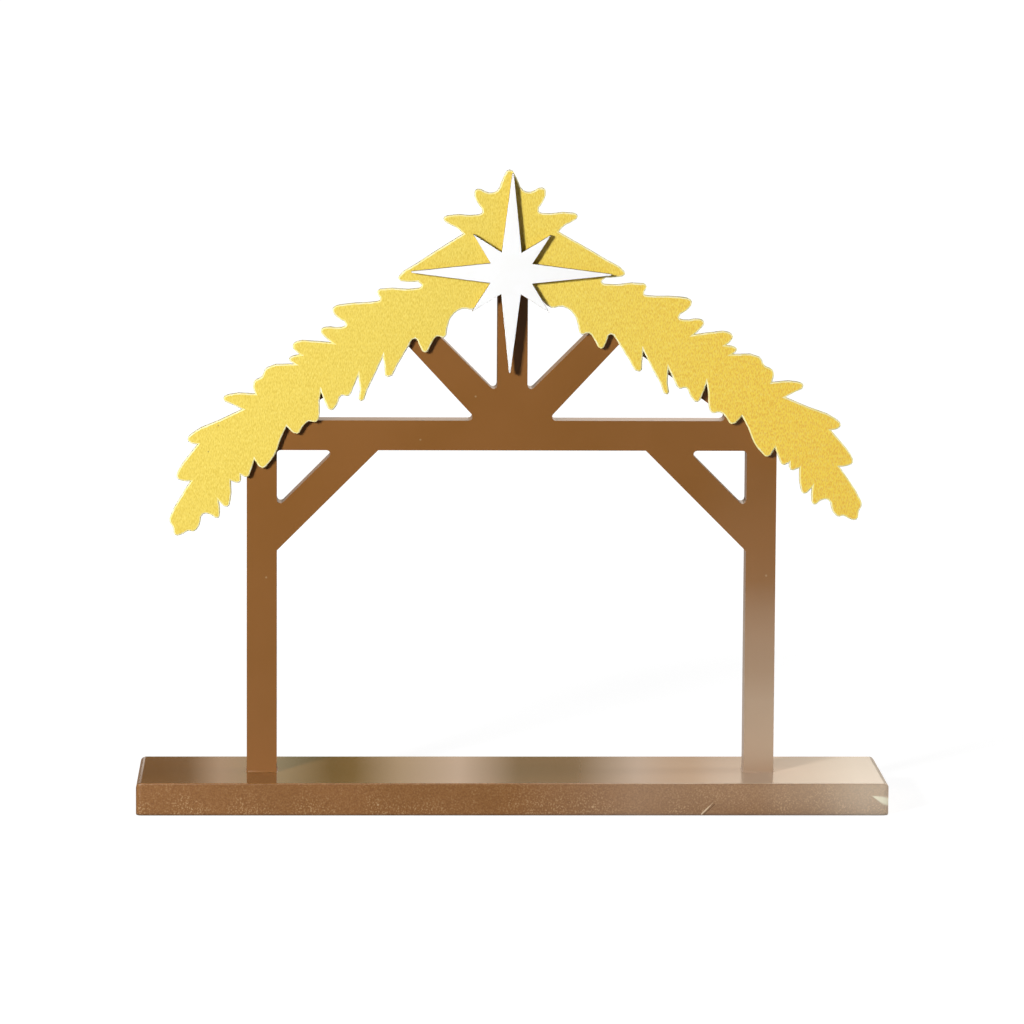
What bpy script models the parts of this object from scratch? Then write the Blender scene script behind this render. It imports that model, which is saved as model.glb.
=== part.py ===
"""A stable-scene table ornament of painted board: a base board, a trussed stable frame, a ragged straw roof
and an eight-rayed star. Metres, +Z up, +Y away from the viewer, origin under the middle of the base board."""

import math

import bmesh
import bpy
from mathutils import Vector

millimetre = 0.001

# Board thicknesses, and the glue line left between pieces that touch.
frame_board = 0.012
face_board = 0.003
glue_gap = 0.0003

# Base board.
base_length = 0.300
base_depth = 0.065
base_height = 0.013
base_end_round = 0.002
base_edge_ease = 0.0005

# Stable frame, with heights from the top of the base board. The struts spring from the beam: their
# undersides strut_foot out from the middle, and their upper edges as if from strut_crotch above it.
frame_width = 0.212
member_width = 0.012
doorway_height = 0.130
eave_height = 0.144
ridge_height = 0.220
knee_hole_leg = 0.0235
strut_foot = 0.0139
strut_crotch = 0.0046
strut_angle = math.radians(45)
strut_under_angle = math.radians(47)
cutter_radius = 0.0015
frame_edge_ease = 0.0004
frame_sideways = -0.0003
weld_distance = 0.000001

# Tongues under the legs, and the blind mortises that take them.
tongue_shoulder = 0.002
tongue_length = 0.006
mortise_clearance = 0.0003

# Straw roof, glued on slightly crooked.
roof_sideways = -0.0014
roof_lean = math.radians(-1.4)

# Star.
star_rays = 8
star_long_ray = 0.0397
star_long_tip = 0.0006
star_short_ray = 0.0219
star_notch = 0.0092
star_notch_angle = math.radians(25.4)
star_drop = 0.0185
star_sideways = -0.0012
star_lean = math.radians(0.65)
star_edge_ease = 0.0002

# Colour, roughness and metallic value of each piece's paint.
paints = {
    "base_board": ((0.27, 0.13, 0.055), 0.35, 0.0),
    "stable_frame": ((0.26, 0.11, 0.03), 0.45, 0.0),
    "straw_roof": ((0.86, 0.66, 0.10), 0.60, 0.0),
    "star": ((0.90, 0.90, 0.88), 0.50, 0.0),
}

# The straw edge as drawn, in millimetres: out from the middle, and up from the ridge, on a roof
# whose rafters run out by drawn_span and fall by drawn_fall. A third value marks a sharp notch.
drawn_span = 106
drawn_fall = 76
drawn_member = 12
SHARP = True
gable_straws = [
    (0, 22.5), (2.7, 19.2), (5.2, 14.2), (8.3, 13.5), (12.9, 15.1), (14.2, 13.6), (13.0, 9.5),
    (11.2, 5.9), (12.6, 4.9), (25.0, 4.8), (26.7, 3.5), (24.4, 1.3), (21.4, -0.2), (19.0, -2.6, SHARP),
    (38.0, -14.2), (44.8, -18.9), (44.9, -20.3), (42.2, -21.2),
]
upper_straws = [
    (35.9, -22.5), (36.8, -23.8), (52.5, -23.9), (53.6, -25.2), (52.6, -28.2),
    (54.2, -28.8), (67.1, -29.6), (71.1, -30.8), (71.6, -31.9), (69.8, -34.8), (66.4, -37.7),
    (68.2, -38.8), (74.6, -38.6), (76.4, -39.9), (75.0, -42.4), (72.3, -44.8, SHARP),
    (80.0, -44.0), (85.8, -44.0), (87.7, -45.7), (86.6, -48.0), (84.9, -49.3, SHARP),
    (88.9, -50.4), (89.3, -51.3), (87.4, -53.0, SHARP),
    (98.3, -54.3), (100.3, -57.8), (103.3, -59.6), (103.9, -62.0), (103.1, -64.6, SHARP),
    (113.3, -64.6), (115.8, -66.3), (112.0, -68.8), (108.4, -70.7, SHARP),
    (117.5, -74.8), (128.6, -79.9), (130.4, -82.4), (129.2, -83.8), (126.5, -84.4, SHARP),
    (130.3, -88.9), (134.3, -94.4), (135.1, -97.6), (133.0, -98.8), (129.8, -99.2, SHARP),
    (133.7, -105.0), (137.6, -111.8), (138.5, -114.8), (137.3, -117.3), (136.3, -120.6),
]
fringe_straws = [
    (133.8, -120.4), (131.1, -119.0), (128.8, -119.2), (126.6, -116.8), (125.0, -112.4),
    (122.0, -112.7), (119.2, -114.2), (118.3, -112.0), (118.6, -107.3, SHARP),
    (115.3, -109.7), (113.9, -107.0), (113.6, -99.3, SHARP), (110.1, -100.0), (109.5, -97.1, SHARP),
    (107.0, -97.9), (105.6, -95.6), (104.0, -91.1, SHARP),
    (101.0, -94.5), (98.4, -92.6), (95.7, -89.0), (93.3, -82.9), (90.9, -78.1, SHARP),
    (86.7, -81.1), (84.6, -78.4), (82.1, -76.2), (78.9, -76.4), (77.6, -73.0), (77.5, -68.0),
    (76.9, -64.6, SHARP), (75.4, -68.6), (73.1, -71.9), (70.6, -69.7), (68.7, -66.1),
    (65.9, -66.3), (64.0, -63.0), (61.9, -58.4, SHARP), (61.4, -64.0), (61.2, -68.6), (58.4, -64.0),
    (51.9, -51.0, SHARP), (51.4, -55.0), (50.3, -59.2), (46.0, -54.0), (41.6, -47.0), (39.0, -44.0),
    (37.4, -46.6), (35.1, -49.7), (32.6, -46.4), (30.2, -43.3), (27.3, -43.8), (26.0, -40.0),
    (24.6, -35.9), (20.0, -32.5), (15.4, -32.8), (10.5, -28.6), (5.5, -25.3), (0, -24.3),
]

# Sizes that follow from the ones above.
half_frame = frame_width / 2
post_inside = half_frame - member_width
rafter_fall = ridge_height - eave_height
pitch = math.atan2(rafter_fall, half_frame)
beam_top = doorway_height + member_width
tongue_width = member_width - 2 * tongue_shoulder
tongue_thickness = frame_board - 2 * tongue_shoulder
leg_middles = {
    "left": frame_sideways - half_frame + member_width / 2,
    "right": frame_sideways + half_frame - member_width / 2,
}
frame_foot = base_height + glue_gap
frame_face = -frame_board / 2
roof_face = frame_face - glue_gap - face_board


def clear_scene():
    for old in list(bpy.data.objects):
        bpy.data.objects.remove(old, do_unlink=True)


def collection(name, hidden=False):
    made = bpy.data.collections.new(name)
    made.hide_render = hidden
    bpy.context.scene.collection.children.link(made)
    return made


def paint(obj):
    """Gives a piece the plain paint that bears its name."""
    colour, roughness, metallic = paints[obj.name]
    made = bpy.data.materials.new(obj.name + "_paint")
    made.use_nodes = True
    shader = made.node_tree.nodes["Principled BSDF"]
    shader.inputs["Base Color"].default_value = (*colour, 1)
    shader.inputs["Roughness"].default_value = roughness
    shader.inputs["Metallic"].default_value = metallic
    obj.data.materials.append(made)


# Outlines in the plane of a board: x to the right, y up the board.


class Line:
    """A straight edge through a point, at an angle from the horizontal."""

    def __init__(self, x, y, angle):
        self.point = Vector((x, y))
        self.along = Vector((math.cos(angle), math.sin(angle)))

    def beside(self, distance):
        """The parallel edge at this distance to the left of the way the line runs."""
        made = Line(0, 0, 0)
        made.along = self.along
        made.point = self.point + distance * Vector((-self.along.y, self.along.x))
        return made

    def meets(self, other):
        """The corner that two edges make."""
        apart = other.point - self.point
        cross = self.along.x * other.along.y - self.along.y * other.along.x
        reach = (apart.x * other.along.y - apart.y * other.along.x) / cross
        return self.point + reach * self.along


def rounded(corners, radius, steps=4):
    """The closed outline with each corner turned into an arc, as a round cutter leaves it."""
    points = []
    for index, corner in enumerate(corners):
        before = (corners[index - 1] - corner).normalized()
        after = (corners[(index + 1) % len(corners)] - corner).normalized()
        half_angle = before.angle(after) / 2
        centre = corner + (before + after).normalized() * radius / math.sin(half_angle)
        first = corner + before * radius / math.tan(half_angle) - centre
        last = corner + after * radius / math.tan(half_angle) - centre
        sweep = first.angle_signed(last)
        for step in range(steps + 1):
            turn = -sweep * step / steps
            points.append(centre + Vector((
                first.x * math.cos(turn) - first.y * math.sin(turn),
                first.x * math.sin(turn) + first.y * math.cos(turn),
            )))
    return points


def mirrored(points):
    """The same outline on the other side of the middle, run the same way round."""
    return [Vector((-point.x, point.y)) for point in reversed(points)]


def board(name, outline, thickness, ease=0.0):
    """A flat board standing upright, cut to a closed outline of straight steps."""
    sheet = bpy.data.curves.new(name, "CURVE")
    sheet.dimensions = "2D"
    sheet.fill_mode = "BOTH"
    sheet.extrude = thickness / 2 - ease
    sheet.bevel_depth = ease
    sheet.bevel_resolution = 0
    sheet.offset = -ease
    spline = sheet.splines.new("POLY")
    spline.points.add(len(outline) - 1)
    for point, place in zip(spline.points, outline):
        point.co = (place.x, place.y, 0, 1)
    spline.use_cyclic_u = True
    obj = bpy.data.objects.new(name, sheet)
    obj.rotation_euler = (math.radians(90), 0, 0)
    return obj


def solid_board(name, outline, thickness):
    """The same board as a mesh, which a Boolean can cut or cut with. It stands at z 0."""
    drawn = board(name + "_outline", outline, thickness)
    holder = collection(name + "_drawing", hidden=True)
    holder.objects.link(drawn)
    evaluated = drawn.evaluated_get(bpy.context.evaluated_depsgraph_get())
    mesh = bpy.data.meshes.new_from_object(evaluated)
    mesh.transform(evaluated.matrix_world)
    mesh.name = name
    weld = bmesh.new()
    weld.from_mesh(mesh)
    bmesh.ops.remove_doubles(weld, verts=weld.verts, dist=weld_distance)
    weld.to_mesh(mesh)
    weld.free()
    bpy.data.objects.remove(drawn, do_unlink=True)
    bpy.data.collections.remove(holder)
    return bpy.data.objects.new(name, mesh)


def block(name, size, middle):
    bpy.ops.mesh.primitive_cube_add(size=1, location=middle)
    made = bpy.context.object
    made.name = name
    made.data.name = name
    made.scale = size
    bpy.ops.object.transform_apply(location=False, rotation=False, scale=True)
    return made


def shape_by(obj, tool, operation, cutters):
    """Joins the tool to the object or cuts it out, and files the tool away with the others."""
    tool.display_type = "WIRE"
    tool.hide_render = True
    move_to(tool, cutters)
    step = obj.modifiers.new(tool.name, "BOOLEAN")
    step.operation = operation
    step.solver = "EXACT"
    step.object = tool


# The four pieces.


def build_base(parts, cutters):
    """The base board, rounded at both ends, with a blind mortise under each leg."""
    base = block("base_board", (base_length, base_depth, base_height), (0, 0, base_height / 2))
    move_to(base, parts)

    weight = base.data.attributes.new("bevel_weight_edge", "FLOAT", "EDGE")
    for edge in base.data.edges:
        first, last = (base.data.vertices[index].co for index in edge.vertices)
        runs_along_the_board = abs(first.x - last.x) > base_depth
        is_under_the_board = max(first.z, last.z) < 0
        weight.data[edge.index].value = 0.0 if runs_along_the_board or is_under_the_board else 1.0

    end_rounds = base.modifiers.new("end_rounds", "BEVEL")
    end_rounds.limit_method = "WEIGHT"
    end_rounds.width = base_end_round
    end_rounds.segments = 4
    edge_ease = base.modifiers.new("edge_ease", "BEVEL")
    edge_ease.limit_method = "ANGLE"
    edge_ease.angle_limit = math.radians(60)
    edge_ease.width = base_edge_ease
    edge_ease.segments = 2

    # Each block is centred on the board's top, so the half below it is the depth of the mortise.
    for name, leg_middle in leg_middles.items():
        size = (
            tongue_width + 2 * mortise_clearance,
            tongue_thickness + 2 * mortise_clearance,
            2 * (tongue_length + mortise_clearance),
        )
        mortise = block(name + "_mortise", size, (leg_middle, 0, base_height))
        shape_by(base, mortise, "DIFFERENCE", cutters)
    paint(base)


def frame_outlines():
    """The stable frame's outer outline, and its six windows: two at the knees, four in the gable."""
    ground = Line(0, 0, 0)
    beam_low = Line(0, doorway_height, 0)
    beam_high = Line(0, beam_top, 0)
    post = Line(post_inside, 0, math.radians(90))
    king = Line(member_width / 2, 0, math.radians(90))
    rafter_top = Line(0, ridge_height, -pitch)
    rafter_low = rafter_top.beside(-member_width)
    strut_low = Line(strut_foot, beam_top, strut_under_angle)
    strut_high = Line(0, beam_top + strut_crotch, strut_angle)
    knee_hole = Line(post_inside - knee_hole_leg, doorway_height, math.radians(-45))
    knee_low = knee_hole.beside(-member_width)

    right_side = [
        Vector((half_frame, eave_height)),
        Vector((half_frame, 0)),
        post.meets(ground),
        post.meets(knee_low),
        beam_low.meets(knee_low),
    ]
    outer = [Vector((0, ridge_height)), *right_side, *mirrored(right_side)]
    corners = {
        "knee_window": [knee_hole.meets(post), knee_hole.meets(beam_low), beam_low.meets(post)],
        "eave_window": [
            beam_high.meets(strut_low), rafter_low.meets(strut_low), rafter_low.meets(beam_high),
        ],
        "ridge_window": [
            king.meets(strut_high), king.meets(rafter_low), rafter_low.meets(strut_high),
        ],
    }
    windows = {}
    for name, window in corners.items():
        windows["right_" + name] = rounded(window, cutter_radius)
        windows["left_" + name] = mirrored(windows["right_" + name])
    return outer, windows


def build_frame(parts, cutters):
    """Legs, tie beam, knee braces, king post, struts and rafters, all routed from one board."""
    outer, windows = frame_outlines()
    frame = solid_board("stable_frame", outer, frame_board)
    frame.location = (frame_sideways, 0, frame_foot)
    parts.objects.link(frame)
    for name, window in windows.items():
        cutter = solid_board(name, window, 2 * frame_board)
        cutter.location = frame.location
        shape_by(frame, cutter, "DIFFERENCE", cutters)
    edge_ease = frame.modifiers.new("edge_ease", "BEVEL")
    edge_ease.limit_method = "ANGLE"
    edge_ease.angle_limit = math.radians(60)
    edge_ease.width = frame_edge_ease
    edge_ease.segments = 1

    # The upper half of each block is buried in its leg, and the lower half is the tongue.
    for name, leg_middle in leg_middles.items():
        size = (tongue_width, tongue_thickness, 2 * tongue_length)
        tongue = block(name + "_tongue", size, (leg_middle, 0, frame_foot))
        shape_by(frame, tongue, "UNION", cutters)
    paint(frame)


def straw_place(straw, hangs_below):
    """Carries a drawn straw over to the rafters as built: its height off the rafter stays as drawn."""
    out, up = straw[0], straw[1]
    share = out / drawn_span
    off_rafter = up + share * drawn_fall
    place = Vector((share * half_frame, ridge_height - share * rafter_fall + off_rafter * millimetre))
    if hangs_below:
        drawn_drop = drawn_member * millimetre / math.cos(math.atan2(drawn_fall, drawn_span))
        place.y -= member_width / math.cos(pitch) - drawn_drop
    return place


def build_roof(parts):
    """The straw roof: one thin board, its ragged edge drawn for one side and repeated on the other."""
    side = [(straw_place(straw, False), len(straw) > 2) for straw in gable_straws + upper_straws]
    side += [(straw_place(straw, True), len(straw) > 2) for straw in fringe_straws]
    other_side = [(Vector((-place.x, place.y)), sharp) for place, sharp in reversed(side[1:-1])]

    sheet = bpy.data.curves.new("straw_roof", "CURVE")
    sheet.dimensions = "2D"
    sheet.fill_mode = "BOTH"
    sheet.resolution_u = 3
    sheet.extrude = face_board / 2
    spline = sheet.splines.new("BEZIER")
    spline.bezier_points.add(len(side) + len(other_side) - 1)
    for point, (place, sharp) in zip(spline.bezier_points, side + other_side):
        point.co = (place.x, place.y - ridge_height, 0)
        point.handle_left_type = "VECTOR" if sharp else "AUTO"
        point.handle_right_type = point.handle_left_type
    spline.use_cyclic_u = True

    roof = bpy.data.objects.new("straw_roof", sheet)
    roof.rotation_euler = (math.radians(90), roof_lean, 0)
    roof.location = (roof_sideways, roof_face + face_board / 2, frame_foot + ridge_height)
    parts.objects.link(roof)
    paint(roof)


def star_outline():
    """Long and short rays by turns, the long ones cut blunt, with a sharp notch on each side of a ray."""
    points = []
    spacing = math.tau / star_rays
    blunt = math.atan2(star_long_tip / 2, star_long_ray)
    for pair in range(star_rays // 2):
        long_angle = math.radians(90) - 2 * pair * spacing
        for reach, turn in (
            (star_long_ray, -blunt),
            (star_long_ray, blunt),
            (star_notch, star_notch_angle),
            (star_short_ray, spacing),
            (star_notch, 2 * spacing - star_notch_angle),
        ):
            angle = long_angle - turn
            points.append(reach * Vector((math.cos(angle), math.sin(angle))))
    return points


def build_star(parts):
    """A flat star, glued on the roof's front."""
    star = board("star", star_outline(), face_board, star_edge_ease)
    star.rotation_euler.y = star_lean
    star.location = (
        star_sideways,
        roof_face - glue_gap - face_board / 2,
        frame_foot + ridge_height - star_drop,
    )
    parts.objects.link(star)
    paint(star)


def move_to(obj, target):
    for holder in list(obj.users_collection):
        holder.objects.unlink(obj)
    target.objects.link(obj)


def main():
    clear_scene()
    parts = collection("nativity_ornament")
    cutters = collection("cutters", hidden=True)
    build_base(parts, cutters)
    build_frame(parts, cutters)
    build_roof(parts)
    build_star(parts)


main()
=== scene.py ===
# %% [markdown]
# # A stable-scene ornament of painted board
#
# The real thing is four flat boards glued together: a base, a brown frame routed from one board,
# a straw-yellow roof with a ragged edge, and a white star. Flat boards look dull unless their paint,
# their edges and the light are right, so that is where most of this lesson goes.

# %% Load the measured boards
import math

import bmesh
import bpy
from mathutils import Matrix, Vector


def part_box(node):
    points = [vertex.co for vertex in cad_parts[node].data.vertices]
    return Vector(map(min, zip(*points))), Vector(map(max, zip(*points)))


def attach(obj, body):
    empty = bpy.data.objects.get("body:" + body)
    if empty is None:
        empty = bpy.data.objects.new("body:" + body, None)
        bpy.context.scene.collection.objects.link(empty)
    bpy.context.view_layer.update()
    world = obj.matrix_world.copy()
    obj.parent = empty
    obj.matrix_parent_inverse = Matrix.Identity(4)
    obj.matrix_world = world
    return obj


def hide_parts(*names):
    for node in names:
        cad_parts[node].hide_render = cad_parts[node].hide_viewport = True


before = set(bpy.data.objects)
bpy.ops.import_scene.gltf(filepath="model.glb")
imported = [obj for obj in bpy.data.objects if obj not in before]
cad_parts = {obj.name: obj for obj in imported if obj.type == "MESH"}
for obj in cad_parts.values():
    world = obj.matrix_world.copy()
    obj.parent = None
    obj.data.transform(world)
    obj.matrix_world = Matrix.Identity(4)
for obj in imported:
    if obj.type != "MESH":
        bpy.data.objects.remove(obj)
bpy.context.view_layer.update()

millimetre = 0.001
for name in sorted(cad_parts):
    low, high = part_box(name)
    print(name, "is", [round(1000 * side, 1) for side in high - low], "mm")


# %% [markdown]
# ## Small helpers
#
# A material or a node tree made in a script is mostly wiring. `place` puts one node down and fills or
# wires its inputs in the same line, which keeps each recipe below short enough to read at a glance. The
# others are steps that many recipes share: a sum, an eased share, a blend of two colours and a ramp.

# %% A helper that places a node and wires it
def place(tree, kind, inputs=None, **settings):
    """Adds a node. An input is given by name or number, and takes a value or another node's output."""
    node = tree.nodes.new(kind)
    for key, value in settings.items():
        setattr(node, key, value)
    for key, value in (inputs or {}).items():
        if isinstance(value, bpy.types.NodeSocket):
            tree.links.new(value, node.inputs[key])
        else:
            node.inputs[key].default_value = value
    return node


def sum_up(tree, operation, first, second=0.0, third=0.0, clamp=False):
    """One step of arithmetic, as an output that the next step can use."""
    wired = {0: first, 1: second, 2: third}
    return place(tree, "ShaderNodeMath", wired, operation=operation, use_clamp=clamp).outputs[0]


def ease_between(tree, value, start, end, low=0.0, high=1.0):
    """Turns a value that runs from start to end into one that eases from low to high."""
    wired = {0: value, 1: start, 2: end, 3: low, 4: high}
    step = place(tree, "ShaderNodeMapRange", wired, interpolation_type="SMOOTHSTEP")
    return step.outputs[0]


def blend_colour(tree, share, first, second, how="MIX"):
    """The first colour with a share of the second in it."""
    wired = {0: share, 6: first, 7: second}
    step = place(tree, "ShaderNodeMix", wired, data_type="RGBA", blend_type=how)
    return step.outputs[2]


def ramp(tree, value, stops):
    """Colours along a value, each stop a place on it and the colour or the grey that it has there."""
    start, end = stops[0][0], stops[-1][0]
    share = place(tree, "ShaderNodeMapRange", {0: value, 1: start, 2: end}).outputs[0]
    colours = place(tree, "ShaderNodeValToRGB", {0: share})
    elements = colours.color_ramp.elements
    while len(elements) < len(stops):
        elements.new(1.0)
    for element, (spot, colour) in zip(elements, stops):
        element.position = (spot - start) / (end - start)
        element.color = (*colour, 1) if isinstance(colour, tuple) else (colour, colour, colour, 1)
    return colours.outputs[0]


def paint_chip(red, green, blue):
    """A colour as a paint card gives it, 0 to 255, turned into the linear values that shaders take."""
    shares = [value / 255 for value in (red, green, blue)]
    linear = [s / 12.92 if s <= 0.04045 else ((s + 0.055) / 1.055) ** 2.4 for s in shares]
    return (*linear, 1.0)


print("brown paint in linear light:", [round(value, 3) for value in paint_chip(137, 90, 45)])


# %% Helpers that stand a piece in the scene and tell whether it is the right way out
def into_scene(name, data):
    """A new object at the origin that shows this data."""
    thing = bpy.data.objects.new(name, data)
    bpy.context.scene.collection.objects.link(thing)
    return thing


def volume(mesh):
    """A piece's volume in cubic millimetres. It comes out below zero when the faces point inward."""
    form = bmesh.new()
    form.from_mesh(mesh)
    size = form.calc_volume(signed=True) / millimetre ** 3
    form.free()
    return round(size, 1)


print("the measured roof holds", volume(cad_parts["straw_roof"].data), "cubic mm")

# %% [markdown]
# ## The camera
#
# The picture was taken with a long lens from a little above and a little to the left. A long lens hardly
# narrows the far side of the base, so the boards keep their true proportions. The place and the angles
# below were found by matching the base's corners, the legs' feet and the beam, with no lens shift.

# %% Set the camera up
camera_place = Vector((-0.07607, -2.31557, 0.40863))
looks_down = 0.12488
turned_right = 0.03283
camera_roll = 0.00559
focal_pixels = 5819.2
picture_pixels = 1024

level = math.cos(looks_down)
look = Vector((math.sin(turned_right) * level, math.cos(turned_right) * level, -math.sin(looks_down)))
right = Vector((math.cos(turned_right), -math.sin(turned_right), 0))
above = right.cross(look)
across = right * math.cos(camera_roll) + above * math.sin(camera_roll)
upward = above * math.cos(camera_roll) - right * math.sin(camera_roll)

camera = into_scene("camera", bpy.data.cameras.new("camera"))
camera.data.sensor_width = 36
camera.data.lens = focal_pixels * camera.data.sensor_width / picture_pixels
camera.data.clip_end = 60
turn = Matrix((across, upward, -look)).transposed().to_4x4()
camera.matrix_world = Matrix.Translation(camera_place) @ turn
bpy.context.scene.camera = camera
bpy.context.scene.view_settings.view_transform = "Standard"
print("lens", round(camera.data.lens, 1), "mm")

# %% [markdown]
# ## Brown paint
#
# The frame is sprayed with a satin brown. Sprayed paint dries with a fine orange-peel, a ripple about a
# millimetre across, and it wears paler on the eased edges, where a hand rubs it. A Noise texture drives
# the ripple through Bump. The wear needs no painted mask: the eased edges are real slopes, so the
# surface's own normal tells them from the flat faces.

# %% Helpers that start a paint
def object_place(tree):
    """Where a point is on its object."""
    return place(tree, "ShaderNodeTexCoord").outputs["Object"]


def flat_place(tree):
    """Where a point is, the same split into x, y and z, and the place with its depth left out."""
    coordinates = object_place(tree)
    apart = place(tree, "ShaderNodeSeparateXYZ", {0: coordinates})
    flat = place(tree, "ShaderNodeCombineXYZ", {0: apart.outputs[0], 2: apart.outputs[2]})
    return coordinates, apart, flat.outputs[0]


def faces_way(tree):
    """Which way a surface looks, split into x, y and z."""
    normal = place(tree, "ShaderNodeTexCoord").outputs["Normal"]
    return place(tree, "ShaderNodeSeparateXYZ", {0: normal})


def new_finish(name):
    """A new material, with its node tree and the shader that its colour goes into."""
    finish = bpy.data.materials.new(name)
    finish.use_nodes = True
    return finish, finish.node_tree, finish.node_tree.nodes["Principled BSDF"]


def two_tone(name, scale, detail, eased, chips, roughness):
    """A dry finish that drifts between two paint chips. It gives its tree and shader for more."""
    finish, tree, shader = new_finish(name)
    drifting = place(
        tree, "ShaderNodeTexNoise", {"Vector": object_place(tree), "Scale": scale, "Detail": detail}
    )
    share = ease_between(tree, drifting.outputs[0], *eased)
    tree.links.new(blend_colour(tree, share, *chips), shader.inputs["Base Color"])
    shader.inputs["Roughness"].default_value = roughness
    return finish, tree, shader


# %% Marks that a paint can carry
def specks(tree, flat, spots):
    """A mask that is 1 inside each small round speck, given as x, z and radius in millimetres."""
    uneven = 0.5 * millimetre
    ragged = place(tree, "ShaderNodeTexNoise", {"Vector": flat, "Scale": 1800.0, "Detail": 2.0})
    wobble = sum_up(tree, "MULTIPLY_ADD", ragged.outputs[0], uneven, -uneven / 2)
    total = 0.0
    for x, z, radius in spots:
        centre = (x * millimetre, 0, z * millimetre)
        away = place(tree, "ShaderNodeVectorMath", {0: flat, 1: centre}, operation="DISTANCE")
        away = sum_up(tree, "ADD", away.outputs["Value"], wobble)
        rim = radius * millimetre
        total = sum_up(tree, "MAXIMUM", total, ease_between(tree, away, rim, rim * 0.5))
    return total


def scratch(tree, flat, start, end, width, tapered=False):
    """A mask along a straight scratch from start to end, in millimetres. A tapered one starts thin."""
    start, end = Vector((start[0], 0, start[1])), Vector((end[0], 0, end[1]))
    along = (end - start).normalized()
    from_start = place(
        tree, "ShaderNodeVectorMath", {0: flat, 1: start * millimetre}, operation="SUBTRACT"
    ).outputs[0]
    run = place(tree, "ShaderNodeVectorMath", {0: from_start, 1: along}, operation="DOT_PRODUCT")
    square_to_it = (-along.z, 0, along.x)
    sideways = place(
        tree, "ShaderNodeVectorMath", {0: from_start, 1: square_to_it}, operation="DOT_PRODUCT"
    )
    length = (end - start).length * millimetre
    half = width * millimetre / 2
    off = sum_up(tree, "ABSOLUTE", sideways.outputs["Value"])
    if tapered:
        room = ease_between(tree, run.outputs["Value"], 0.0, length * 0.7, 0.12, 1.0)
        off = sum_up(tree, "DIVIDE", off, room)
    near = ease_between(tree, off, half, half * 0.4)
    middle = sum_up(tree, "SUBTRACT", run.outputs["Value"], length / 2)
    within = ease_between(tree, sum_up(tree, "ABSOLUTE", middle), length / 2, length / 2 - half)
    return sum_up(tree, "MULTIPLY", near, within)


# %% [markdown]
# The frame's right foot and the base's right end are pale and milky. This is a painted reflection of a
# bright room on their gloss, which the cards below give only in part. The painted sheen adds the same
# grey to every brown under it, so it is laid on with Add and not mixed in.

# %% Lay a painted sheen over the browns
painted_sheen_grey = (0.280, 0.294, 0.264, 1)
leg_painted_sheen = [
    (0.030, 0.66), (0.042, 0.65), (0.054, 0.47), (0.067, 0.41), (0.079, 0.28),
    (0.091, 0.08), (0.105, 0.04), (0.132, 0.025), (0.142, 0.0),
]
base_painted_sheen = [
    (0.000, 0.02), (0.025, 0.14), (0.049, 0.31), (0.073, 0.23),
    (0.097, 0.22), (0.121, 0.48), (0.140, 1.0),
]


def with_painted_sheen(tree, brown, amount):
    """A brown with that much of the painted sheen's grey laid over it."""
    return blend_colour(tree, amount, brown, painted_sheen_grey, "ADD")


print("bloom has", len(leg_painted_sheen), "stops up the leg and", len(base_painted_sheen), "along the base")

# %% Mix the frame's brown
frame_brown, tree, shader = new_finish("frame_satin_brown")
coordinates, apart, flat = flat_place(tree)

cloudy = place(tree, "ShaderNodeTexNoise", {"Vector": coordinates, "Scale": 26.0, "Detail": 3.0})
clouds = ease_between(tree, cloudy.outputs[0], 0.3, 0.7)
brown = blend_colour(tree, clouds, paint_chip(136, 88, 35), paint_chip(141, 92, 41))

facing = sum_up(tree, "ABSOLUTE", faces_way(tree).outputs[1])
sloped = sum_up(
    tree, "MULTIPLY", ease_between(tree, facing, 0.3, 0.5), ease_between(tree, facing, 0.95, 0.85)
)
rubbed = place(tree, "ShaderNodeTexNoise", {"Vector": coordinates, "Scale": 160.0, "Detail": 4.0})
wear = sum_up(tree, "MULTIPLY", sloped, ease_between(tree, rubbed.outputs[0], 0.35, 0.7, 0.1, 0.6))
wear = sum_up(tree, "MULTIPLY", wear, ease_between(tree, apart.outputs[2], 0.0138, 0.0155))
brown = blend_colour(tree, wear, brown, paint_chip(176, 138, 98))
print("frame's brown and wear mixed with", len(tree.nodes), "nodes")

# %% Add the frame's specks, its painted sheen and the ripple of the spray
pale_specks = specks(
    tree, flat, [(-15.0, 165.0, 0.5), (-37.0, 147.6, 0.5), (102.0, 93.0, 0.55), (-98.5, 92.0, 0.5)]
)
in_front = ease_between(tree, apart.outputs[1], 0.001, -0.001, 0.0, 0.5)
pale_specks = sum_up(tree, "MULTIPLY", pale_specks, in_front)
brown = blend_colour(tree, pale_specks, brown, paint_chip(190, 160, 120))
# Painted sheen: the frame is a little paler toward its feet, and much paler up the right leg's foot.
brown = with_painted_sheen(tree, brown, ramp(tree, apart.outputs[2], [(0.015, 0.05), (0.13, 0.0)]))
right_leg = ease_between(tree, apart.outputs[0], 0.07, 0.09)
up_the_leg = ramp(tree, apart.outputs[2], leg_painted_sheen)
brown = with_painted_sheen(tree, brown, sum_up(tree, "MULTIPLY", right_leg, up_the_leg))
tree.links.new(brown, shader.inputs["Base Color"])

ripple = place(tree, "ShaderNodeTexNoise", {"Vector": coordinates, "Scale": 750.0, "Detail": 2.0})
bump = place(
    tree, "ShaderNodeBump", {"Height": ripple.outputs[0], "Strength": 0.12, "Distance": 0.1 * millimetre}
)
tree.links.new(bump.outputs[0], shader.inputs["Normal"])
shader.inputs["Roughness"].default_value = 0.30
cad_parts["stable_frame"].data.materials[0] = frame_brown
print("frame painted with", len(tree.nodes), "nodes")

# %% [markdown]
# ## Paint round the feet
#
# Each leg stands on a glue line a third of a millimetre high. Left open it would draw a black line under
# the foot, but on the real thing glue and paint run into it and dry as a small hollow bead. The bead is a
# rounded square drawn again at a few heights, narrower toward the top, and skinned between.

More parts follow.
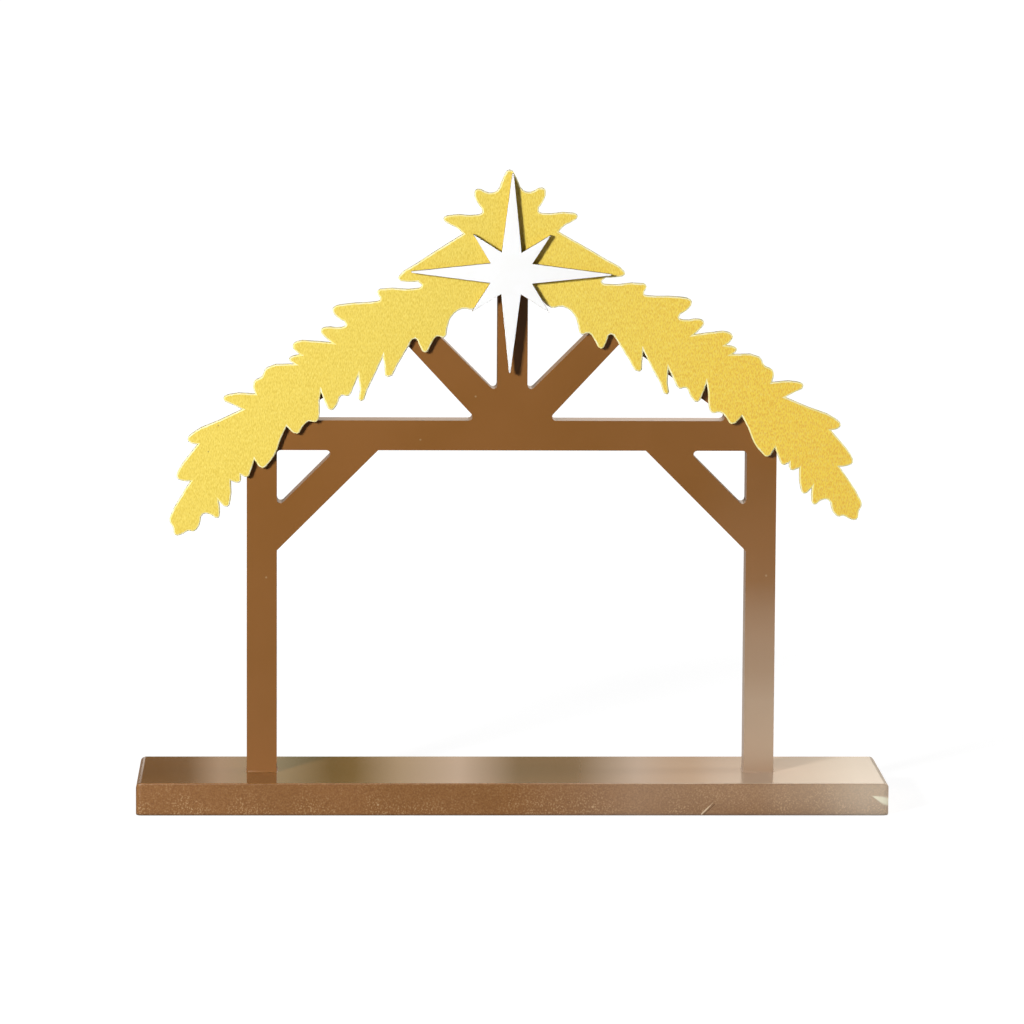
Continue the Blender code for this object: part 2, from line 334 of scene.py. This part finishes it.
# %% Run a bead round each foot
foot_half = 0.0060
foot_middles = [-0.1003, 0.0997]
bead_steps = [(0.42, -0.04), (0.42, 0.02), (0.20, 0.08), (0.08, 0.20), (0.02, 0.45), (-0.10, 0.80)]
corner_round = 0.0006
corner_points = 4


def foot_outline(middle, outward, height):
    """A rounded square round a foot, drawn outward from the leg's faces and at a height."""
    centre = foot_half - corner_round
    corners = []
    for quarter in range(4):
        turned = math.pi / 2 * quarter + math.pi / 4
        for step in range(corner_points):
            angle = math.radians(90 * quarter + 90 * step / (corner_points - 1))
            x = math.copysign(centre, math.cos(turned)) + (corner_round + outward) * math.cos(angle)
            y = math.copysign(centre, math.sin(turned)) + (corner_round + outward) * math.sin(angle)
            corners.append((middle + x, y, height))
    return corners


print("each foot's outline has", len(foot_outline(0, 0, 0)), "corners")

# %% Skin the beads and set them on the base
form = bmesh.new()
base_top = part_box("base_board")[1].z
for foot_middle in foot_middles:
    rings = []
    for outward, up in bead_steps:
        outline = foot_outline(foot_middle, outward * millimetre, base_top + up * millimetre)
        rings.append([form.verts.new(corner) for corner in outline])
    count = len(rings[0])
    for low_ring, high_ring in zip(rings, rings[1:]):
        for i in range(count):
            j = (i + 1) % count
            form.faces.new((low_ring[i], low_ring[j], high_ring[j], high_ring[i]))
    form.faces.new(reversed(rings[0]))
    form.faces.new(rings[-1])
bmesh.ops.recalc_face_normals(form, faces=form.faces)
for face in form.faces:
    face.smooth = abs(face.normal.z) < 0.99
mesh = bpy.data.meshes.new("foot_beads")
form.to_mesh(mesh)
form.free()
mesh.materials.append(frame_brown)
beads = into_scene("foot_beads", mesh)
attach(beads, "root")
print("beads run round", len(foot_middles), "feet and hold", volume(mesh), "cubic mm")

# %% [markdown]
# ## The base: gloss on top, texture in front
#
# The base's top is so glossy that it mirrors the legs, while its front edge is cut board, and the paint
# on it dries rough and speckled. One material does both. The normal says which way a face looks, and
# that blends a smooth recipe with a coarse one, so the two meet along the eased arris by themselves.

# %% Mix the base's brown
base_brown, tree, shader = new_finish("base_gloss_brown")
coordinates, apart, flat = flat_place(tree)
on_top = ease_between(tree, faces_way(tree).outputs[2], 0.6, 0.95)

cloudy = place(tree, "ShaderNodeTexNoise", {"Vector": coordinates, "Scale": 30.0, "Detail": 4.0})
clouds = ease_between(tree, cloudy.outputs[0], 0.3, 0.7)
brown = blend_colour(tree, clouds, paint_chip(142, 95, 47), paint_chip(148, 100, 53))

edge_only = sum_up(tree, "SUBTRACT", 1.0, on_top)
grit = place(tree, "ShaderNodeTexNoise", {"Vector": coordinates, "Scale": 1500.0, "Detail": 2.0})
pits = sum_up(tree, "MULTIPLY", ease_between(tree, grit.outputs[0], 0.50, 0.36, 0.0, 0.36), edge_only)
brown = blend_colour(tree, pits, brown, paint_chip(108, 64, 30))
sparkle = ease_between(tree, grit.outputs[0], 0.53, 0.68)
low_down = ease_between(tree, apart.outputs[2], 0.012, 0.001, 0.26, 0.56)
far_left = ease_between(tree, apart.outputs[0], -0.10, -0.15, 0.0, 0.17)
sparkle = sum_up(tree, "MULTIPLY", sparkle, sum_up(tree, "ADD", low_down, far_left))
drifts = place(tree, "ShaderNodeTexNoise", {"Vector": coordinates, "Scale": 75.0, "Detail": 2.0})
drift = ease_between(tree, drifts.outputs[0], 0.36, 0.64, 0.5, 1.5)
sparkle = sum_up(tree, "MULTIPLY", sparkle, sum_up(tree, "MULTIPLY", edge_only, drift))
brown = blend_colour(tree, sparkle, brown, paint_chip(186, 148, 104))
# A painted shadow darkens the bottom millimetre of the front, where the base meets the floor.
painted_contact_shadow = ease_between(tree, apart.outputs[2], 0.0011, 0.0004, 0.0, 0.42)
brown = blend_colour(tree, painted_contact_shadow, brown, paint_chip(84, 64, 48))
# Painted sheen: the base is paler toward its right end, and its top is paler toward the right.
brown = with_painted_sheen(tree, brown, ramp(tree, apart.outputs[0], base_painted_sheen))
top_painted_sheen = ramp(tree, apart.outputs[0], [(0.02, 0.0), (0.07, 0.70), (0.15, 0.85)])
brown = with_painted_sheen(tree, brown, sum_up(tree, "MULTIPLY", on_top, top_painted_sheen))
print("base's brown mixed with", len(tree.nodes), "nodes")

# %% Mark the base's front edge, with a painted shadow beside the straw mark
in_front = ease_between(tree, apart.outputs[1], -0.026, -0.030)
# A painted shadow: a dark line just beside the pale straw mark.
painted_scratch_shadow = scratch(tree, flat, (75.8, 0.2), (80.6, 4.8), 0.6)
painted_scratch_shadow = sum_up(tree, "MULTIPLY", painted_scratch_shadow, sum_up(tree, "MULTIPLY", in_front, 0.6))
brown = blend_colour(tree, painted_scratch_shadow, brown, paint_chip(92, 62, 38))
straw_mark = scratch(tree, flat, (79.9, 5.4), (74.9, 0.3), 0.75, tapered=True)
straw_mark = sum_up(tree, "MULTIPLY", straw_mark, in_front)
brown = blend_colour(tree, straw_mark, brown, paint_chip(232, 208, 174))
small_marks = specks(tree, flat, [(31.8, 3.6, 0.6), (-53.8, 4.4, 0.55), (33.0, 2.6, 0.35)])
small_marks = sum_up(tree, "MULTIPLY", small_marks, sum_up(tree, "MULTIPLY", in_front, 0.6))
brown = blend_colour(tree, small_marks, brown, paint_chip(214, 180, 138))
# A soft pale patch near the right end of the front.
pale_patch = scratch(tree, flat, (142.6, 8.2), (151.5, 4.8), 4.2, tapered=True)
pale_patch = sum_up(tree, "MULTIPLY", pale_patch, in_front)
brown = blend_colour(tree, pale_patch, brown, paint_chip(246, 238, 212))
tree.links.new(brown, shader.inputs["Base Color"])
print("base's edge marked, now with", len(tree.nodes), "nodes")

# %% Polish the base's top and roughen its edge
polish = ease_between(tree, apart.outputs[0], 0.06, 0.09, 0.06, 0.14)
roughness = place(tree, "ShaderNodeMapRange", {0: on_top, 3: 0.42, 4: polish})
tree.links.new(roughness.outputs[0], shader.inputs["Roughness"])
peel = place(tree, "ShaderNodeTexNoise", {"Vector": coordinates, "Scale": 620.0, "Detail": 3.0})
coarse = ease_between(tree, on_top, 0.0, 1.0, 0.7, 0.001)
bump = place(
    tree, "ShaderNodeBump", {"Height": peel.outputs[0], "Strength": coarse, "Distance": 0.2 * millimetre}
)
tree.links.new(bump.outputs[0], shader.inputs["Normal"])
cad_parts["base_board"].data.materials[0] = base_brown
print("base painted with", len(tree.nodes), "nodes")

# %% [markdown]
# ## The straw roof
#
# The roof is one thin board cut along a ragged line. Its face is straw yellow with a fine upright grain,
# and its cut edge is a dull grey-brown. Each leaf has a pale line painted round it. The measured board
# has the right outline but knife-sharp rims, so a merged copy is taken and its rims are rounded by a
# little over half a millimetre. The rounded strip then carries the pale line.

# %% Colour the straw
def straw_grain(tree, coordinates, across, along, detail):
    """Noise squeezed sideways and drawn out upright, as brushed straw is."""
    squeezed = place(
        tree, "ShaderNodeMapping", {"Vector": coordinates, "Scale": (across, across, along)}
    )
    noise = place(
        tree, "ShaderNodeTexNoise", {"Vector": squeezed.outputs[0], "Scale": 1.0, "Detail": detail}
    )
    return noise.outputs[0]


straw_yellow, tree, shader = new_finish("straw_yellow")
coordinates, apart, flat = flat_place(tree)
to_the_right = ease_between(tree, apart.outputs[0], -0.03, 0.14)
yellow = blend_colour(tree, to_the_right, paint_chip(239, 212, 87), paint_chip(255, 219, 69))
grain = straw_grain(tree, coordinates, 3100.0, 900.0, 1.0)
dark_straw = ease_between(tree, grain, 0.57, 0.36, 0.0, 0.92)
how_dark = ease_between(tree, to_the_right, 0.0, 1.0, 1.08, 1.20)
dark_straw = sum_up(tree, "MULTIPLY", dark_straw, how_dark)
stroke = blend_colour(tree, to_the_right, paint_chip(226, 195, 66), paint_chip(242, 186, 52))
yellow = blend_colour(tree, dark_straw, yellow, stroke)
pale_grain = straw_grain(tree, coordinates, 2800.0, 640.0, 1.0)
light_straw = ease_between(tree, pale_grain, 0.51, 0.66, 0.0, 0.36)
yellow = blend_colour(tree, light_straw, yellow, paint_chip(255, 238, 128))
dark_specks = specks(tree, flat, [(-117.5, 153.5, 0.45), (-121.5, 143.0, 0.4)])
yellow = blend_colour(tree, sum_up(tree, "MULTIPLY", dark_specks, 0.6), yellow, paint_chip(150, 118, 50))
tree.links.new(yellow, shader.inputs["Base Color"])
bump = place(tree, "ShaderNodeBump", {"Height": grain, "Strength": 0.35, "Distance": 0.12 * millimetre})
tree.links.new(bump.outputs[0], shader.inputs["Normal"])
shader.inputs["Roughness"].default_value = 0.62
print("straw coloured with", len(tree.nodes), "nodes")

# %% Colour the roof's cut edge and its pale rim
half_and_half = (0.35, 0.65)
scorched = (paint_chip(126, 104, 64), paint_chip(164, 142, 92))
# The pale line painted on each leaf's rounded rim.
pale_rim_chips = (paint_chip(252, 236, 150), paint_chip(254, 246, 196))
cut_edge = two_tone("cut_edge", 420.0, 4.0, half_and_half, scorched, 0.7)[0]
pale_rim = two_tone("pale_rim", 500.0, 3.0, half_and_half, pale_rim_chips, 0.7)[0]
print("mixed", cut_edge.name, "and", pale_rim.name)


# %% Round the roof's rims
def merged_copy(node_name, weld=0.000002, flat_within=math.radians(0.5)):
    """A measured board as one joined surface, with its loose triangles merged into whole faces."""
    form = bmesh.new()
    form.from_mesh(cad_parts[node_name].data)
    bmesh.ops.remove_doubles(form, verts=form.verts, dist=weld)
    bmesh.ops.dissolve_limit(form, angle_limit=flat_within, verts=form.verts, edges=form.edges)
    return form


def is_flat_face(face):
    """Whether this is the board's front or its back, and not its cut side."""
    return abs(face.normal.y) > 0.9


def crossings(face):
    """How often a face's outline crosses itself, which a rim rounded too far would make it do."""
    ring = [(corner.vert.co.x, corner.vert.co.z) for corner in face.loops]
    sides = [(ring[i - 1], ring[i]) for i in range(len(ring))]

    def leans(a, b, c):
        return (b[0] - a[0]) * (c[1] - a[1]) - (b[1] - a[1]) * (c[0] - a[0])

    def cross(one, other):
        (a, b), (c, d) = one, other
        return leans(a, b, c) * leans(a, b, d) < 0 and leans(c, d, a) * leans(c, d, b) < 0

    return sum(cross(sides[i], sides[j]) for i in range(len(sides)) for j in range(i))


rim_round = 0.0006
flat_from = 0.995
rim_from = 0.2
form = merged_copy("straw_roof")
rims = [edge for edge in form.edges if sum(is_flat_face(face) for face in edge.link_faces) == 1]
bmesh.ops.bevel(form, geom=rims, offset=rim_round, segments=3, profile=0.5, affect="EDGES")
form.normal_update()
front = max((face for face in form.faces if face.normal.y < -0.9), key=lambda face: face.calc_area())
print("the roof's front outline crosses itself", crossings(front), "times")
finishes = [straw_yellow, pale_rim, cut_edge]
for face in form.faces:
    turned_out = abs(face.normal.y)
    if turned_out > flat_from:
        finish = straw_yellow
    elif turned_out > rim_from:
        finish = pale_rim
    else:
        finish = cut_edge
    face.material_index = finishes.index(finish)
mesh = bpy.data.meshes.new("roof_board")
form.to_mesh(mesh)
form.free()
for finish in finishes:
    mesh.materials.append(finish)
roof = into_scene("roof_board", mesh)
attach(roof, "root")
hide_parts("straw_roof")
print("roof board has", len(mesh.polygons), "faces and", len(rims), "rim edges")
print("roof board holds", volume(mesh), "cubic mm")

# %% [markdown]
# ## The star
#
# The star's outline follows a rule: a blunt long ray, a notch, a short ray, a notch, four times round.
# That suits Geometry Nodes. A circle of twenty points is pushed to its places by index and filled. That
# face looks backward, so a flipped one is pulled out to the board's thickness and the first stays as the
# back. The tree gives the sides an olive material of their own: seen from above they are the thin olive
# line round each ray. A Bevel then takes the sharpness off, as sanding would.

# %% Name the sizes of the star's tree
star_sizes = {
    "Long ray": 0.0397,
    "Short ray": 0.0219,
    "Notch reach": 0.0092,
    "Notch angle": math.radians(25.4),
    "Blunt tip": 0.0006,
    "Board": 0.003,
}
star_pairs = 4
points_to_a_pair = 5
weld_distance = 0.000001

star_tree = bpy.data.node_groups.new("eight_rayed_star", "GeometryNodeTree")
for label in star_sizes:
    star_tree.interface.new_socket(label, in_out="INPUT", socket_type="NodeSocketFloat")
for label in ("Paint", "Olive side"):
    star_tree.interface.new_socket(label, in_out="INPUT", socket_type="NodeSocketMaterial")
star_tree.interface.new_socket("Geometry", in_out="OUTPUT", socket_type="NodeSocketGeometry")
sizes = place(star_tree, "NodeGroupInput").outputs
print("star's tree takes", len(sizes) - 1, "inputs")


# %% Find where each point of the outline goes
def pick(tree, index, choices):
    """Gives each point the choice that its number names."""
    switch = place(tree, "GeometryNodeIndexSwitch", data_type="FLOAT")
    while len(switch.index_switch_items) < len(choices):
        switch.index_switch_items.new()
    tree.links.new(index, switch.inputs[0])
    for number, choice in enumerate(choices, start=1):
        if isinstance(choice, bpy.types.NodeSocket):
            tree.links.new(choice, switch.inputs[number])
        else:
            switch.inputs[number].default_value = choice
    return switch.outputs[0]


index = place(star_tree, "GeometryNodeInputIndex").outputs[0]
in_pair = sum_up(star_tree, "MODULO", index, float(points_to_a_pair))
pair = sum_up(star_tree, "FLOOR", sum_up(star_tree, "DIVIDE", index, float(points_to_a_pair)))
half_tip = sum_up(star_tree, "MULTIPLY", sizes["Blunt tip"], 0.5)
blunt = sum_up(star_tree, "ARCTAN2", half_tip, sizes["Long ray"])
pair_angle = math.tau / star_pairs
turns = pick(star_tree, in_pair, [
    sum_up(star_tree, "MULTIPLY", blunt, -1.0),
    blunt,
    sizes["Notch angle"],
    pair_angle / 2,
    sum_up(star_tree, "SUBTRACT", pair_angle, sizes["Notch angle"]),
])
reaches = pick(star_tree, in_pair, [
    sizes["Long ray"], sizes["Long ray"], sizes["Notch reach"], sizes["Short ray"], sizes["Notch reach"],
])
turned = sum_up(star_tree, "ADD", sum_up(star_tree, "MULTIPLY", pair, pair_angle), turns)
print("each of the", star_pairs, "pairs turns", math.degrees(pair_angle), "degrees")

# %% Push a circle to those places and pull it out to a board
spot = place(star_tree, "ShaderNodeCombineXYZ", {
    0: sum_up(star_tree, "MULTIPLY", reaches, sum_up(star_tree, "SINE", turned)),
    2: sum_up(star_tree, "MULTIPLY", reaches, sum_up(star_tree, "COSINE", turned)),
})
ring = place(
    star_tree, "GeometryNodeMeshCircle", {"Vertices": star_pairs * points_to_a_pair}, fill_type="NGON"
)
outline = place(
    star_tree, "GeometryNodeSetPosition", {"Geometry": ring.outputs[0], "Position": spot.outputs[0]}
)
front = place(star_tree, "GeometryNodeFlipFaces", {"Mesh": outline.outputs[0]})
forward = sum_up(star_tree, "MULTIPLY", sizes["Board"], -1.0)
depth = place(star_tree, "ShaderNodeCombineXYZ", {1: forward})
pulled = place(star_tree, "GeometryNodeExtrudeMesh", {
    "Mesh": front.outputs[0], "Offset": depth.outputs[0], "Offset Scale": 1.0, "Individual": False,
})
both = place(star_tree, "GeometryNodeJoinGeometry")
for part in (pulled, outline):
    star_tree.links.new(part.outputs[0], both.inputs[0])
whole = place(
    star_tree, "GeometryNodeMergeByDistance", {"Geometry": both.outputs[0], "Distance": weld_distance}
)
real = place(star_tree, "GeometryNodeRealizeInstances", {"Geometry": whole.outputs[0]})
painted = place(
    star_tree, "GeometryNodeSetMaterial", {"Geometry": real.outputs[0], "Material": sizes["Paint"]}
)
sided = place(star_tree, "GeometryNodeSetMaterial", {
    "Geometry": painted.outputs[0], "Selection": pulled.outputs["Side"], "Material": sizes["Olive side"],
})
place(star_tree, "NodeGroupOutput", {0: sided.outputs[0]})
print("star's tree has", len(star_tree.nodes), "nodes")

# %% Mix the star's white and its raw side
whites = (paint_chip(252, 252, 251), paint_chip(254, 254, 254))
star_white, tree, shader = two_tone("star_white", 120.0, 3.0, half_and_half, whites, 0.5)
ripple = place(tree, "ShaderNodeTexNoise", {"Vector": object_place(tree), "Scale": 800.0, "Detail": 2.0})
bump = place(
    tree, "ShaderNodeBump", {"Height": ripple.outputs[0], "Strength": 0.08, "Distance": 0.1 * millimetre}
)
tree.links.new(bump.outputs[0], shader.inputs["Normal"])

# The star's sides are an olive brown, darker than its face.
olives = (paint_chip(118, 98, 56), paint_chip(150, 130, 84))
olive_side = two_tone("olive_side", 600.0, 3.0, half_and_half, olives, 0.8)[0]
print("mixed", star_white.name, "and", olive_side.name)


# %% Grow the star and set it on the roof
def plain_mesh(worker, name):
    """What the worker's modifiers make of it, as a mesh of its own. The modifiers are then removed."""
    evaluated = worker.evaluated_get(bpy.context.evaluated_depsgraph_get())
    mesh = bpy.data.meshes.new_from_object(evaluated)
    mesh.name = name
    worker.modifiers.clear()
    bpy.data.objects.remove(worker, do_unlink=True)
    return mesh


def run_tree(worker, tree, values):
    """Adds the tree to an object and sets each input by its identifier, before anything is evaluated."""
    nodes = worker.modifiers.new(tree.name, "NODES")
    nodes.node_group = tree
    for item in tree.interface.items_tree:
        if item.in_out == "INPUT" and item.name in values:
            nodes[item.identifier] = values[item.name]
    return nodes


star_centre = Vector((-0.0012, -0.0096, 0.2148))
star_lean = math.radians(0.65)
worker = into_scene("star_worker", bpy.data.meshes.new("star_worker"))
run_tree(worker, star_tree, {**star_sizes, "Paint": star_white, "Olive side": olive_side})
sanded = worker.modifiers.new("sanded", "BEVEL")
sanded.limit_method = "ANGLE"
sanded.angle_limit = math.radians(80)
sanded.width = 0.0002
sanded.segments = 2
mesh = plain_mesh(worker, "star_board")
mesh.transform(Matrix.Translation(star_centre) @ Matrix.Rotation(star_lean, 4, "Y"))
star = into_scene("star_board", mesh)
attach(star, "root")
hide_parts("star")
low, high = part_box("star")
made_low = Vector([min(v.co[axis] for v in mesh.vertices) for axis in range(3)])
made_high = Vector([max(v.co[axis] for v in mesh.vertices) for axis in range(3)])
print("star holds", volume(mesh), "cubic mm")
print("star's corners are off the measured board by at most",
      round(1000 * max(max(map(abs, made_low - low)), max(map(abs, made_high - high))), 3), "mm")

# %% [markdown]
# ## Light
#
# The star's shadow falls ten pixels to the right but only three down, so the main lamp stands about
# 33 degrees left of the front and 16 above it. The brown is a fifth darker at the right end of the
# beam than at the left, so the lamp is near, a little over a metre away. Thin boards look thin
# because the gaps between them are dark, so the room in front gives almost nothing. The wall behind is
# pale and throws light back: that reaches the back, the right end and the base's top, but no face that
# looks forward. A small lamp at the right end does the same for the edges there, from just behind the
# front.

# %% Hang the lamps
key_way = Vector((-0.66, -1.0, 0.34)).normalized()
key_distance = 1.25
key_lamp = into_scene("key", bpy.data.lights.new("key", "AREA"))
middle = Vector((0, 0, 0.13))
key_lamp.location = middle + key_way * key_distance
key_lamp.rotation_euler = (-key_way).to_track_quat("-Z", "Y").to_euler()
key_lamp.data.shape = "DISK"
key_lamp.data.size = 0.23
key_lamp.data.energy = 16.1
key_lamp.visible_camera = False

end_lamp = into_scene("side", bpy.data.lights.new("side", "AREA"))
end_lamp.location = (1.15, 0.06, 0.22)
end_lamp.rotation_euler = (end_lamp.location - middle).to_track_quat("Z", "Y").to_euler()
end_lamp.data.size = 0.25
end_lamp.data.energy = 7.0
end_lamp.visible_camera = False
end_lamp.visible_glossy = False
print("key lamp at", [round(value, 2) for value in key_lamp.location])

# %% Fill in with the world
wall_way = (0.45, 0.89, 0.0)
world = bpy.data.worlds.new("room")
bpy.context.scene.world = world
world.use_nodes = True
tree = world.node_tree
tree.nodes.clear()
path = place(tree, "ShaderNodeLightPath").outputs
way = place(tree, "ShaderNodeTexCoord").outputs["Generated"]
to_the_wall = place(tree, "ShaderNodeVectorMath", {0: way, 1: wall_way}, operation="DOT_PRODUCT")
strength = ease_between(tree, to_the_wall.outputs["Value"], 0.0, 0.6, 0.05, 0.60)
fill = place(tree, "ShaderNodeBackground", {"Color": (1, 1, 1, 1), "Strength": strength})
seen = place(tree, "ShaderNodeBackground", {"Color": (1, 1, 1, 1), "Strength": 1.0})
either = place(
    tree, "ShaderNodeMixShader", {0: path["Is Camera Ray"], 1: fill.outputs[0], 2: seen.outputs[0]}
)
place(tree, "ShaderNodeOutputWorld", {0: either.outputs[0]})
print("world wired with", len(tree.nodes), "nodes")

# %% [markdown]
# ## The floor
#
# A pale floor that is truly white would throw so much light back up that the dark gaps would fill in.
# So it is a dark grey to every ray but the camera's, which sees it almost white, with the ornament's
# soft shadow still on it.

# %% Helpers for the floor and the cards
def bare_finish(name):
    """A new material with an empty tree, for what only gives light or only shows in some rays."""
    finish = bpy.data.materials.new(name)
    finish.use_nodes = True
    finish.node_tree.nodes.clear()
    return finish, finish.node_tree


def stage_board(name, corners, material):
    """A four-cornered board that belongs to the stage and not to the ornament."""
    mesh = bpy.data.meshes.new(name)
    mesh.from_pydata(corners, [], [(0, 1, 2, 3)])
    mesh.materials.append(material)
    board = into_scene(name, mesh)
    return board


# %% Lay the floor
pale_floor, tree = bare_finish("pale_floor")
path = place(tree, "ShaderNodeLightPath").outputs
plain = place(tree, "ShaderNodeBsdfDiffuse", {"Color": (0.20, 0.20, 0.20, 1)})
lit = place(tree, "ShaderNodeBsdfDiffuse", {"Color": (0.30, 0.30, 0.30, 1)})
coordinates = object_place(tree)
away = place(tree, "ShaderNodeVectorMath", {0: coordinates}, operation="LENGTH").outputs["Value"]
strength = ease_between(tree, away, 0.22, 0.9, 0.86, 1.0)
glow = place(tree, "ShaderNodeEmission", {"Color": (1, 1, 1, 1), "Strength": strength})
both = place(tree, "ShaderNodeAddShader", {0: lit.outputs[0], 1: glow.outputs[0]})
apart = place(tree, "ShaderNodeSeparateXYZ", {0: coordinates})
behind_it = ease_between(tree, apart.outputs[1], -0.05, 0.05)
beside_it = ease_between(tree, apart.outputs[0], 0.150, 0.156)
from_left = ease_between(tree, apart.outputs[0], -0.16, -0.10, 0.12, 0.6)
sheen = sum_up(tree, "MULTIPLY", sum_up(tree, "MAXIMUM", behind_it, beside_it), from_left)
in_gloss = place(tree, "ShaderNodeEmission", {"Color": (1, 0.95, 0.88, 1), "Strength": sheen})
unseen = place(tree, "ShaderNodeMixShader", {
    0: path["Is Glossy Ray"], 1: plain.outputs[0], 2: in_gloss.outputs[0],
})
either = place(
    tree, "ShaderNodeMixShader", {0: path["Is Camera Ray"], 1: unseen.outputs[0], 2: both.outputs[0]}
)
place(tree, "ShaderNodeOutputMaterial", {0: either.outputs[0]})
reach = 30.0
drop = -0.0002
stage_board("floor", [
    (-reach, -reach, drop), (reach, -reach, drop), (reach, reach, drop), (-reach, reach, drop),
], pale_floor)
print("floor lies", -drop / millimetre, "mm below the base")

# %% [markdown]
# ## What the gloss reflects
#
# Gloss shows the room. The base's top mirrors what stands behind the ornament, in soft upright bands.
# Edges that face up and left catch a pale stretch below the bands, and edges that face up and right a
# dark one, which is why only one side of each strut is lit. The right leg catches something bright that
# lies in front. Studio cards do all of it. Only glossy rays see them, so they light nothing.

# %% Stand a card behind
def glossy_only(board):
    """Leaves a board to glossy rays alone."""
    board.visible_camera = False
    board.visible_diffuse = False
    board.visible_transmission = False
    board.visible_shadow = False
    board.visible_volume_scatter = False


behind, tree = bare_finish("room_behind")
apart = place(tree, "ShaderNodeSeparateXYZ", {0: object_place(tree)})
bands = ramp(tree, apart.outputs[0], [
    (-0.183, (0.14, 0.08, 0.03)), (-0.165, (0.18, 0.12, 0.06)), (-0.144, (0.70, 0.53, 0.37)),
    (-0.104, (0.50, 0.44, 0.26)), (-0.070, (0.12, 0.11, 0.02)), (-0.055, (0.17, 0.14, 0.03)),
    (-0.025, (0.70, 0.56, 0.36)), (0.015, (1.06, 0.86, 0.66)), (0.054, (0.28, 0.24, 0.14)),
    (0.094, (0.26, 0.20, 0.10)), (0.134, (0.84, 0.67, 0.52)), (0.173, (0.70, 0.42, 0.21)),
    (0.213, (0.94, 0.68, 0.44)), (0.253, (1.25, 1.00, 0.72)), (0.286, (1.40, 1.22, 0.98)),
])
above_bands = ramp(tree, apart.outputs[0], [(-0.2, (0.76, 0.59, 0.43)), (0.2, (2.1, 1.85, 1.62))])
below_bands = ramp(tree, apart.outputs[0], [(0.0, (1.05, 0.95, 0.86)), (0.05, (0.08, 0.06, 0.04))])
height = apart.outputs[2]
low_card = ease_between(tree, height, 0.125, 0.155)
near_floor = ramp(tree, apart.outputs[0], [(-0.30, (0.24, 0.18, 0.13)), (-0.24, (0.08, 0.06, 0.04))])
below_bands = blend_colour(tree, low_card, near_floor, below_bands)
shown = blend_colour(tree, ease_between(tree, height, 0.225, 0.245), below_bands, bands)
shown = blend_colour(tree, ease_between(tree, height, 0.290, 0.320), shown, above_bands)
glow = place(tree, "ShaderNodeEmission", {"Color": shown, "Strength": 1.0})
place(tree, "ShaderNodeOutputMaterial", {0: glow.outputs[0]})
card_back = 1.5
half_wide = 3
card_top = 2.5
glossy_only(stage_board("card_behind", [
    (-half_wide, card_back, 0), (half_wide, card_back, 0),
    (half_wide, card_back, card_top), (-half_wide, card_back, card_top),
], behind))
print("a card stands", card_back, "m behind")

# %% Lay a bright card in front
bright, tree = bare_finish("bright_in_front")
apart = place(tree, "ShaderNodeSeparateXYZ", {0: object_place(tree)})
rightward = ease_between(tree, apart.outputs[0], 0.02, 0.16)
nearer = ease_between(tree, apart.outputs[1], -0.55, -0.20)
strength = sum_up(tree, "MULTIPLY", sum_up(tree, "MULTIPLY", rightward, nearer), 4.0)
glow = place(tree, "ShaderNodeEmission", {"Color": (0.93, 1.0, 0.90, 1), "Strength": strength})
place(tree, "ShaderNodeOutputMaterial", {0: glow.outputs[0]})
lift = 0.0005
left, near, far_right, far = -0.05, -0.9, 0.6, -0.05
glossy_only(stage_board("card_in_front", [
    (left, near, lift), (far_right, near, lift), (far_right, far, lift), (left, far, lift),
], bright))
print("a card lies from", near, "to", far, "m in front")
